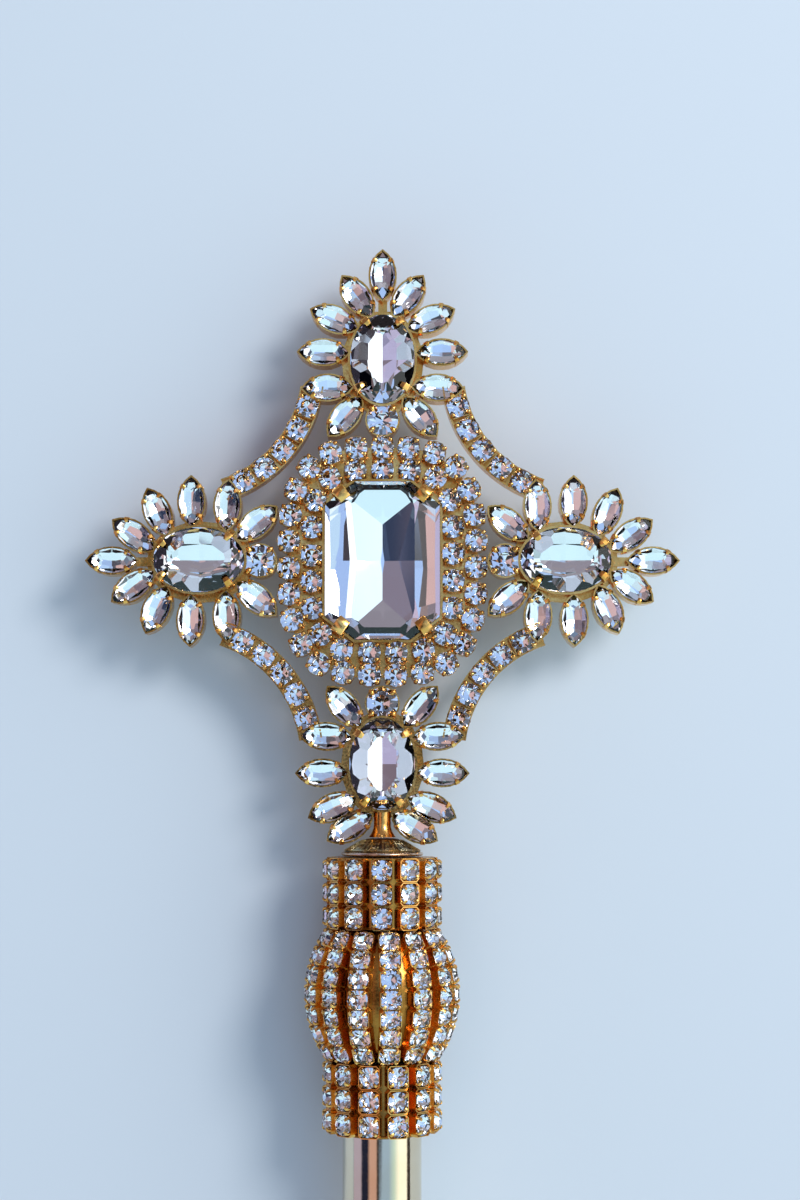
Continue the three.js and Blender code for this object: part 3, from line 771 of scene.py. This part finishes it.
def oval_crystal():
    stone = rough_block(OVAL["width"], OVAL["length"], OVAL["crown"], OVAL["pavilion"])
    band, level = OVAL_CUT["band"], OVAL_UNDER["height"]
    for azimuth in azimuths(OVAL_CUT["girdle"], 0.5):
        grind(stone, azimuth, 90, oval_reach(OVAL["width"], OVAL["length"], azimuth))
    for azimuth in azimuths(OVAL_CUT["flats"], 0.5):
        reach = oval_reach(OVAL["width"], OVAL["length"], azimuth)
        grind(stone, azimuth, OVAL_CUT["crown"], reach, band)
    for azimuth in azimuths(OVAL_CUT["flats"]):
        reach = oval_reach(OVAL["width"], OVAL["length"], azimuth) - OVAL_CUT["star_in"]
        grind(stone, azimuth, OVAL_CUT["star"], reach, OVAL_CUT["star_height"])
    for azimuth in (0, 180):
        for lean in both_ways(OVAL_UNDER["side_spread"]):
            reach = OVAL["width"] / 2 - OVAL_UNDER["side_in"]
            grind(stone, azimuth + lean, 180 - OVAL_UNDER["side"], reach, level, FOIL)
        for lean in both_ways(OVAL_UNDER["shoulder_spread"]):
            reach = oval_reach(OVAL["width"], OVAL["length"], azimuth + lean) - OVAL_UNDER["side_in"]
            grind(stone, azimuth + lean, 180 - OVAL_UNDER["shoulder"], reach, level, FOIL)
    for azimuth in (90, 270):
        reach = OVAL["length"] / 2 - OVAL_UNDER["end_in"]
        grind(stone, azimuth, 180 - OVAL_UNDER["end"], reach, level, FOIL)
    for azimuth in azimuths(OVAL_CUT["flats"]):
        reach = oval_reach(OVAL["width"], OVAL["length"], azimuth)
        grind(stone, azimuth, 180 - OVAL_UNDER["edge"], reach, -band, FOIL)
    return polished(stone)


for arm, quarter in QUARTER_TURNS.items():
    oval_node, link_node = f"oval_crystal_{arm}", f"link_crystal_{arm}"
    turn = quarter * math.pi / 2
    seat_stone(oval_crystal(), oval_node, f"oval_stone_{arm}", girdle_of(oval_node, OVAL["crown"]), turn)
    link_stone = round_crystal(LINK["width"], LINK["crown"], LINK["pavilion"])
    seat_stone(link_stone, link_node, f"link_stone_{arm}", girdle_of(link_node, LINK["crown"]), turn)

# ---- The four bands ----
# Curved strips of square cups that tie the flowers together. The cups stand between two thin rails, and
# each holds a small round stone with a bead at each corner.

BAND = {"centre_x": 31, "centre_y": 30.4, "radius": 20.1, "depth": 3, "drop": 0.65}
BAR = {"half_width": 1.75, "top": -1.9}
# The two rails, the medallion's side first: inner and outer distance from the band's middle line, and top.
RAILS = [(1.58, 1.85, -0.15), (-1.85, -1.62, -1.2)]
BAND_STEPS = 24
BAND_STONES = {"count": 5, "first_angle": 17.4, "step": 11.3}
BAND_ENDS = (8, 72)


def arc_bar(inner, outer, bottom, top):
    """A bar that follows the band's curve: its section spun about the circle's middle."""
    bar = bmesh.new()
    bmesh.ops.create_grid(bar, x_segments=1, y_segments=1, size=0.5)
    bmesh.ops.rotate(bar, cent=(0, 0, 0), matrix=Matrix.Rotation(math.pi / 2, 3, "X"), verts=bar.verts)
    bmesh.ops.scale(bar, vec=(outer - inner, 1, top - bottom), verts=bar.verts)
    bmesh.ops.translate(bar, vec=((inner + outer) / 2, 0, (bottom + top) / 2), verts=bar.verts)
    start, end = BAND_ENDS
    turn = Matrix.Rotation(math.radians(180 + start), 3, "Z")
    bmesh.ops.rotate(bar, cent=(0, 0, 0), matrix=turn, verts=bar.verts)
    bmesh.ops.spin(bar, geom=whole(bar), cent=(0, 0, 0), axis=(0, 0, 1), steps=BAND_STEPS,
                   angle=math.radians(end - start), use_merge=False, use_duplicate=False)
    bmesh.ops.recalc_face_normals(bar, faces=bar.faces)
    return mesh_of(bar, "arc_bar")


def square_cup(sizes):
    """A square cup with softened corners, a hollow seat and a prong at each corner."""
    width, length = sizes["width"], sizes["length"]
    cup = rough_block(width, length - sizes["seam"], -0.04, sizes["height"])
    for azimuth in azimuths(4, 0.5):
        grind(cup, azimuth, 90, math.hypot(width, length) / 2 - sizes["softening"])
    in_one_finish(cup)
    sink(cup, top_face(cup), sizes["rim"], sizes["hollow"], sizes["narrowing"])
    across, along, up = sizes["prong_at"]
    for x in (-1, 1):
        for y in (-1, 1):
            facing = Matrix.Rotation(math.atan2(y, x), 4, "Z")
            stamp(cup, sizes["prong"], Matrix.Translation((x * across, y * along, up)) @ facing)
    return mesh_of(cup, "square_cup")


BAND_CUP = square_cup({"width": 3.5, "length": 3.6, "seam": 0, "height": 2.6, "softening": 0.3, "rim": 0.16,
                       "hollow": 1.56, "narrowing": 0.7, "prong": BEAD, "prong_at": (1.28, 1.28, 0.25)})
band_metal = bmesh.new()
band_stones = bmesh.new()
bars = [arc_bar(BAND["radius"] - BAR["half_width"], BAND["radius"] + BAR["half_width"], -BAND["depth"],
                BAR["top"])]
for inner, outer, top in RAILS:
    bars.append(arc_bar(BAND["radius"] + inner, BAND["radius"] + outer, -BAND["depth"], top))
band_level = RIMS @ Matrix.Translation((0, 0, -BAND["drop"]))
for side_x, side_y in CORNER_SIDES:
    quadrant = band_level @ Matrix.Diagonal((side_x, side_y, 1, 1))
    quadrant = quadrant @ Matrix.Translation((BAND["centre_x"], BAND["centre_y"], 0))
    for bar in bars:
        stamp(band_metal, bar, quadrant)
    for stone in range(BAND_STONES["count"]):
        angle = math.radians(180 + BAND_STONES["first_angle"] + stone * BAND_STONES["step"])
        spot = quadrant @ Matrix.Rotation(angle, 4, "Z") @ Matrix.Translation((BAND["radius"], 0, 0))
        stamp(band_metal, BAND_CUP, spot)
        stamp(band_stones, SMALL_STONE, spot @ hand_set(SMALL_STONE_LEAN))
for mirrored in (band_metal, band_stones):
    bmesh.ops.recalc_face_normals(mirrored, faces=mirrored.faces)
set_piece(band_metal, "band_settings", ["head_frame"], [GOLD])
set_piece(band_stones, "band_stones", ["head_frame"], [GLASS, SILVER], None)

# ---- The stem ----
# A short rod of gold-plated brass, brazed to the bottom flower. It flares where it meets the neck cap.

STEM = {"top": -36.5, "foot": -42.7, "thin": 1.3, "flare": 2.1, "flare_length": 2}


def turned(profile, steps):
    """Turns a profile of (radius, distance along the axis) into a solid round the axis of the tube."""
    shape = bmesh.new()
    verts = [shape.verts.new((radius, along, 0)) for radius, along in profile]
    for here, there in zip(verts, verts[1:]):
        shape.edges.new((here, there))
    bmesh.ops.spin(shape, geom=shape.verts[:] + shape.edges[:], cent=(0, 0, 0), axis=(0, 1, 0),
                   angle=2 * math.pi, steps=steps, use_merge=True, use_duplicate=False)
    bmesh.ops.remove_doubles(shape, verts=shape.verts, dist=1e-4)
    bmesh.ops.recalc_face_normals(shape, faces=shape.faces)
    return shape


def flared(share):
    """The stem's radius, from its thin part at 0 to its foot at 1."""
    return STEM["thin"] + (STEM["flare"] - STEM["thin"]) * share ** 2


FLARE_STEPS = 6
stem_profile = [(0, STEM["foot"])]
for step in range(FLARE_STEPS + 1):
    share = 1 - step / FLARE_STEPS
    stem_profile.append((flared(share), STEM["foot"] + STEM["flare_length"] * (1 - share)))
stem_profile += [(STEM["thin"], STEM["top"]), (0, STEM["top"])]
stem = turned(stem_profile, 32)
put(stem, HEAD_PLACE)
set_piece(stem, "stem", ["head_frame"], [GOLD], 40)

# ---- The neck cap ----
# A shallow cone stamped from bronze sheet and darkened. Its Greek key stands proud, so the raised
# lines are rubbed bright, and its lip is rolled.

CAP = {"top": -42.9, "base": -45.5, "cone_base": -44.95, "top_radius": 2.3, "base_radius": 5.9,
       "bulge": 0.25}
CONE_STEPS = 8
LIP = {"inner": 5.4, "outer": 6.05, "roll": 0.25, "half_height": 0.27, "steps": 8}
BRONZE = plated("darkened_bronze", (0.20, 0.13, 0.07), (0.07, 0.05, 0.035), 500, 0.3, 0.55, 0.02)
RUBBED_BRONZE = plated("rubbed_bronze", (0.62, 0.50, 0.26), (0.34, 0.27, 0.13), 700, 0.22, 0.42, 0.015)
LIP_METAL = plated("lip_metal", (0.78, 0.66, 0.56), (0.42, 0.26, 0.16), 300, 0.15, 0.35, 0.01)


def cap_radius(share):
    """The cone's radius from its top at 0 to its base at 1, with a slight bulge."""
    straight = CAP["top_radius"] + (CAP["base_radius"] - CAP["top_radius"]) * share
    return straight + CAP["bulge"] * math.sin(math.pi * share)


def cap_along(share):
    return CAP["top"] + (CAP["cone_base"] - CAP["top"]) * share


cone_profile = [(0, CAP["top"])]
for step in range(CONE_STEPS + 1):
    cone_profile.append((cap_radius(step / CONE_STEPS), cap_along(step / CONE_STEPS)))
cone_profile += [(cap_radius(1), CAP["base"]), (0, CAP["base"])]
cap = turned(cone_profile, 64)
lip_middle = CAP["base"] + LIP["half_height"]
lip_profile = [(LIP["inner"], CAP["base"]), (LIP["outer"], CAP["base"])]
for step in range(LIP["steps"] + 1):
    angle = math.pi * (step / LIP["steps"] - 0.5)
    lip_profile.append((LIP["outer"] + LIP["roll"] * math.cos(angle),
                        lip_middle + LIP["half_height"] * math.sin(angle)))
lip_profile += [(LIP["inner"], lip_middle + LIP["half_height"]), (LIP["inner"], CAP["base"])]
lip = turned(lip_profile, 64)
in_one_finish(lip, 2)
stamp(cap, mesh_of(lip, "lip"), Matrix())

# One key on a grid of cells: each bar is (left, bottom, right, top), in cells of the pattern.
KEY_BARS = [(0, 0, 1, 7), (0, 6, 7, 7), (6, 1, 7, 7), (2, 1, 7, 2), (2, 1, 3, 5), (2, 4, 5, 5),
            (0, 0, 9, 0.8)]
KEYS = 13
KEY_ROWS = 7
KEY_RELIEF = 0.3
KEY_CELLS = 9  # one key and the gap after it, in cells
KEY_FROM, KEY_TO = 0.16, 0.92  # where the pattern lies between the cone's top and base

cell = 2 * math.pi / KEYS / KEY_CELLS
slant = math.hypot(cap_radius(1) - cap_radius(0), cap_along(0) - cap_along(1))
for key in range(KEYS):
    for left, bottom, right, top in KEY_BARS:
        share = KEY_TO - (KEY_TO - KEY_FROM) * (bottom + top) / 2 / KEY_ROWS
        radius = cap_radius(share)
        ahead, behind = share + 0.02, share - 0.02
        slope = math.atan2(cap_along(behind) - cap_along(ahead), cap_radius(ahead) - cap_radius(behind))
        angle = (key * KEY_CELLS + (left + right) / 2) * cell
        width = (right - left) * cell * radius
        height = (top - bottom) / KEY_ROWS * (KEY_TO - KEY_FROM) * slant
        bar = bmesh.new()
        bmesh.ops.create_cube(bar, size=1)
        bmesh.ops.scale(bar, vec=(width, KEY_RELIEF, height), verts=bar.verts)
        in_one_finish(bar, 1)
        lay = Matrix.Translation((0, cap_along(share), radius)) @ Matrix.Rotation(slope, 4, "X")
        bmesh.ops.rotate(bar, cent=(0, 0, 0), matrix=Matrix.Rotation(math.pi, 3, "Y"), verts=bar.verts)
        stamp(cap, mesh_of(bar, "key_bar"), Matrix.Rotation(angle, 4, "Y") @ lay)
put(cap, HEAD_PLACE)
set_piece(cap, "cap", ["neck_cap"], [BRONZE, RUBBED_BRONZE, LIP_METAL])

# ---- The knop ----
# Two collars and a bulb between them, each a turned core with strips of square cups soldered round it.
# Every cup holds a small round stone with hooked prongs.

COLLAR = {"length": 10.8, "radius": 9.0, "strips": 12, "stones": 3}
BULB = {"length": 19.4, "radius": 11.75, "strips": 14, "stones": 7, "profile_radius": 16.3}
COLLAR_TURNS = {"knop_upper_collar": 0, "knop_lower_collar": 17}
BULB_TURN = 7.5
BULB_STEPS = 24
STRIP_HEIGHT = 2.2  # from a core's surface to the radius of its collar or bulb
KNOP_STONE_RADIUS = 1.52
# The cores' gold is a deeper amber than the cups' gold. It is also darkened further as painted shade, for
# the shadow that the cups cast into the channels between their strips.
CORE_GOLD_WITH_PAINTED_SHADE = plated("core_gold_with_painted_shade", (0.50, 0.24, 0.05), (0.24, 0.10, 0.02), 180, 0.16, 0.34, 0.01)
KNOP_STONE = mesh_of(round_crystal(2 * KNOP_STONE_RADIUS, 0.62, 1.3), "knop_stone")
KNOP_STONE_LEAN = 4
HOOK = claw(0.5, 0.24, [(0.0, -1.0, 1), (0.05, -0.05, 1), (-0.02, 0.3, 1), (-0.25, 0.5, 0.9),
                        (-0.5, 0.45, 0.7)])
KNOP_CUP = {"width": 3.25, "seam": 0.1, "height": 1.7, "softening": 0.35, "rim": 0.12, "hollow": 1.5,
            "narrowing": 0.6, "prong": HOOK, "prong_at": (1.22, 1.15, 0.05)}
CUP_SUNK = 0.5  # how far the cups' rims lie under the radius of their collar or bulb
BEAD_OUT = (0.4, 0.5)  # how far the small bead at each end of a collar's core stands out, edge and middle


def bulb_radius(along):
    return BULB["radius"] - BULB["profile_radius"] + math.sqrt(BULB["profile_radius"] ** 2 - along ** 2)


def rest_flat(shape):
    """Files away what would stand below the surface that the sceptre lies on."""
    bmesh.ops.bisect_plane(shape, geom=whole(shape), dist=1e-7, plane_co=(0, 0, 0), plane_no=(0, 0, -1),
                           clear_outer=True)
    rim = [edge for edge in shape.edges if edge.is_boundary]
    if rim:
        bmesh.ops.holes_fill(shape, edges=rim, sides=0)
        bmesh.ops.recalc_face_normals(shape, faces=shape.faces)


def straight_rows(sizes):
    """Each cup along a collar's strip: its place on the axis, radius and slope."""
    pitch = sizes["length"] / sizes["stones"]
    places = [(stone + 0.5) * pitch - sizes["length"] / 2 for stone in range(sizes["stones"])]
    return pitch, [(along, sizes["radius"], 0.0) for along in places]


def curved_rows(sizes):
    """The same for the bulb, evenly spaced along its curve."""
    curve = sizes["profile_radius"]
    run = 2 * math.asin(sizes["length"] / 2 / curve) * curve
    pitch = run / sizes["stones"]
    rows = []
    for stone in range(sizes["stones"]):
        along = math.sin(((stone + 0.5) * pitch - run / 2) / curve) * curve
        rows.append((along, bulb_radius(along), math.asin(along / curve)))
    return pitch, rows


def knop_section(node, strips, turn, pitch, rows, core_profile):
    """A core with its strips of cups and stones, centred on its node."""
    middle = middle_of(node)
    place = place_mm(middle.x, middle.y, AXIS)
    core = turned(core_profile, 96)
    put(core, place)
    set_piece(core, f"{node}_core", [node], [CORE_GOLD_WITH_PAINTED_SHADE], 40)
    metal, stones = bmesh.new(), bmesh.new()
    cup = square_cup({**KNOP_CUP, "length": pitch})
    for strip in range(strips):
        around = turn_about("Y", turn + strip * 360 / strips)
        for along, radius, slope in rows:
            spot = place @ around @ Matrix.Translation((0, -along, radius - CUP_SUNK))
            spot = spot @ Matrix.Rotation(slope, 4, "X")
            stamp(metal, cup, spot)
            stamp(stones, KNOP_STONE, spot @ hand_set(KNOP_STONE_LEAN))
    for shape in (metal, stones):
        rest_flat(shape)
    set_piece(metal, f"{node}_cups", [node], [GOLD])
    set_piece(stones, f"{node}_stones", [node], [GLASS, SILVER], None)


def collar_profile():
    half, radius = COLLAR["length"] / 2, COLLAR["radius"] - STRIP_HEIGHT
    edge, crest = radius + BEAD_OUT[0], radius + BEAD_OUT[1]
    bead_at_end = [(0, half), (edge, half), (crest, half - 0.12), (edge, half - 0.3), (radius, half - 0.35)]
    return [(out, -along) for out, along in bead_at_end] + bead_at_end[::-1]


def bulb_profile():
    half = BULB["length"] / 2
    points = [(0, -half)]
    for step in range(BULB_STEPS + 1):
        along = -half + BULB["length"] * step / BULB_STEPS
        points.append((bulb_radius(along) - STRIP_HEIGHT, along))
    return points + [(0, half)]


for node, turn in COLLAR_TURNS.items():
    knop_section(node, COLLAR["strips"], turn, *straight_rows(COLLAR), collar_profile())
knop_section("knop_bulb", BULB["strips"], BULB_TURN, *curved_rows(BULB), bulb_profile())

# ---- The tube ----
# Drawn brass tube of 12 mm, polished and plated a pale gold, pushed into the knop and the pommel.

TUBE_RADIUS = 6.0
TUBE_EDGE = 0.1  # how much its ends are chamfered
PALE_GOLD = plated("pale_gold", (0.86, 0.78, 0.62), (0.74, 0.62, 0.44), 60, 0.05, 0.14, 0.002)


def tube():
    low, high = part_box("shaft")
    top, bottom, inner = high.y / MM, low.y / MM, TUBE_RADIUS - TUBE_EDGE
    shape = turned([(0, bottom), (inner, bottom), (TUBE_RADIUS, bottom + TUBE_EDGE),
                    (TUBE_RADIUS, top - TUBE_EDGE), (inner, top), (0, top)], 96)
    put(shape, place_mm(HEAD.x, 0, AXIS))
    return shape


set_piece(tube(), "tube", ["shaft"], [PALE_GOLD], 30)

# ---- The pommel ----
# A finial turned from brass bar and plated like the tube: a neck, a ring and a ball with a flat end. A
# small flat on the ball keeps the sceptre from rolling.

POMMEL = {"neck": 7.4, "ring": 8.8, "ball": 11.75, "end": 4.2, "steps": 24}
END_DIMPLE = [(0, 0.3), (1.2, 0.3), (2.6, 0.1), (3.6, 0)]  # radius, height above the ball's flat end
# The neck and the ring round it: radius, and distance down from the tube's end.
SHOULDER = [(POMMEL["neck"] - 0.35, 4.6), (POMMEL["neck"], 4.0), (8.3, 3.8), (8.7, 3.3),
            (POMMEL["ring"], 2.4), (8.7, 1.5), (8.3, 1.0), (POMMEL["neck"], 0.8),
            (POMMEL["neck"] - 0.1, 0.2), (POMMEL["neck"] - 0.3, 0), (0, 0)]


def pommel():
    low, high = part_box("pommel")
    end, top = low.y / MM, high.y / MM
    ball, neck = POMMEL["ball"], POMMEL["neck"]
    first = math.asin(POMMEL["end"] / ball)
    last = math.pi - math.asin(neck / ball)
    middle = end + ball * math.cos(first)
    profile = [(radius, end + up) for radius, up in END_DIMPLE]
    for step in range(POMMEL["steps"] + 1):
        angle = first + (last - first) * step / POMMEL["steps"]
        profile.append((ball * math.sin(angle), middle - ball * math.cos(angle)))
    profile.append((neck - 0.25, profile[-1][1] + 0.5))
    profile += [(radius, top - down) for radius, down in SHOULDER]
    shape = turned(profile, 96)
    put(shape, place_mm(HEAD.x, 0, AXIS))
    rest_flat(shape)
    return shape


set_piece(pommel(), "pommel_finial", ["pommel"], [PALE_GOLD], 30)

# ---- Floor, light and camera ----
# A pale sheet to lie on, one soft lamp to the right, and a room with bright and dark sides for the
# crystals to mirror.

floor_shape = bmesh.new()
bmesh.ops.create_grid(floor_shape, x_segments=1, y_segments=1, size=3)
floor = bpy.data.objects.new("floor", mesh_of(floor_shape, "floor"))
bpy.context.scene.collection.objects.link(floor)
sheet = new_material("pale_sheet")[0]
sheet_shader = sheet.node_tree.nodes["Principled BSDF"]
sheet_shader.inputs["Base Color"].default_value = (0.62, 0.68, 0.76, 1)
sheet_shader.inputs["Roughness"].default_value = 0.8
floor.data.materials.append(sheet)

world = bpy.data.worlds.new("room")
bpy.context.scene.world = world
world.use_nodes = True
room_nodes, room_links = world.node_tree.nodes, world.node_tree.links
background = room_nodes["Background"]
look = room_nodes.new("ShaderNodeTexCoord")
axes = room_nodes.new("ShaderNodeSeparateXYZ")
room_links.new(look.outputs["Generated"], axes.inputs["Vector"])


def around(sideways):
    """Angle from straight up, towards the axis `sideways`, as 0 to 1 for -180 to 180 degrees."""
    angle = room_nodes.new("ShaderNodeMath")
    angle.operation = "ARCTAN2"
    room_links.new(axes.outputs[sideways], angle.inputs[0])
    room_links.new(axes.outputs["Z"], angle.inputs[1])
    return spread(room_nodes, room_links, angle.outputs[0], -math.pi, math.pi).outputs["Result"]


def ramp(share, stops):
    """Colours by angle in degrees."""
    band = room_nodes.new("ShaderNodeValToRGB")
    elements = band.color_ramp.elements
    while len(elements) < len(stops):
        elements.new(0.5)
    for element, (degrees, colour) in zip(elements, stops):
        element.position = (degrees + 180) / 360
        element.color = (*colour, 1)
    room_links.new(share, band.inputs["Fac"])
    return band.outputs["Color"]


NAVY, ROSE, SHADE = (0.017, 0.022, 0.055), (0.70, 0.46, 0.42), (0.05, 0.045, 0.05)
SKY, WINDOW, BRIGHTEST = (0.42, 0.64, 1.0), (0.72, 1.04, 1.12), (1.5, 1.6, 1.6)
GROUND, LILAC = (0.3, 0.33, 0.32), (0.50, 0.46, 0.66)
MAUVE, FAR_WALL = (0.22, 0.17, 0.2), (0.30, 0.27, 0.30)
room_colour = ramp(around("X"), [
    (-95, GROUND), (-88, LILAC), (-64, LILAC), (-59, NAVY), (-42, NAVY), (-35, ROSE), (-17, ROSE),
    (-13, SHADE), (-10, SHADE), (-4, SKY), (20, SKY), (36, WINDOW), (52, BRIGHTEST), (76, BRIGHTEST),
    (80, SHADE), (88, SHADE), (95, GROUND),
])


def panel(under, direction, inner, outer, colour):
    """Lays a soft-edged round panel over the room, `inner` to `outer` degrees about a direction."""
    towards = room_nodes.new("ShaderNodeVectorMath")
    towards.operation = "DOT_PRODUCT"
    towards.inputs[1].default_value = Vector(direction).normalized()
    room_links.new(look.outputs["Generated"], towards.inputs[0])
    edge = spread(room_nodes, room_links, towards.outputs["Value"], math.cos(math.radians(outer)),
                  math.cos(math.radians(inner)))
    edge.interpolation_type = "SMOOTHSTEP"
    over = room_nodes.new("ShaderNodeMix")
    over.data_type = "RGBA"
    over.inputs["B"].default_value = (*colour, 1)
    room_links.new(edge.outputs["Result"], over.inputs["Factor"])
    room_links.new(under, over.inputs["A"])
    return over.outputs["Result"]


PANELS = [((0, -1, 0.35), 40, 55, WINDOW), ((0, 1, 0.3), 30, 45, FAR_WALL),
          ((-0.72, 0.5, 0.62), 20, 23, MAUVE), ((-0.07, -0.05, 1), 5, 9, SHADE)]
for direction, inner, outer, colour in PANELS:
    room_colour = panel(room_colour, direction, inner, outer, colour)
room_links.new(room_colour, background.inputs["Color"])
background.inputs["Strength"].default_value = 1.0
bpy.context.scene.view_settings.view_transform = "Standard"

LAMP_AT = Vector((0.55, 0.55, 0.75))
LAMP_TOWARDS = Vector((0.0, 0.19, 0.0))
lamp_data = bpy.data.lights.new("window", "AREA")
lamp_data.shape = "DISK"
lamp_data.size = 0.35
lamp_data.energy = 5
lamp_data.color = (1.0, 0.97, 0.93)
lamp = bpy.data.objects.new("window", lamp_data)
bpy.context.scene.collection.objects.link(lamp)
lamp.location = LAMP_AT
lamp.rotation_euler = (LAMP_TOWARDS - LAMP_AT).to_track_quat("-Z", "Y").to_euler()

LOOK_DOWN = math.radians(5.2)
FRAMED = Vector((2.73, 194.51, 12.5)) * MM
DISTANCE = 325.5 * MM
camera_data = bpy.data.cameras.new("camera")
camera_data.lens = 63
camera_data.sensor_width = 36
camera_data.clip_start = 0.01
camera = bpy.data.objects.new("camera", camera_data)
bpy.context.scene.collection.objects.link(camera)
camera.location = FRAMED + Vector((0, -math.sin(LOOK_DOWN), math.cos(LOOK_DOWN))) * DISTANCE
camera.rotation_euler = (LOOK_DOWN, 0, 0)
bpy.context.scene.camera = camera
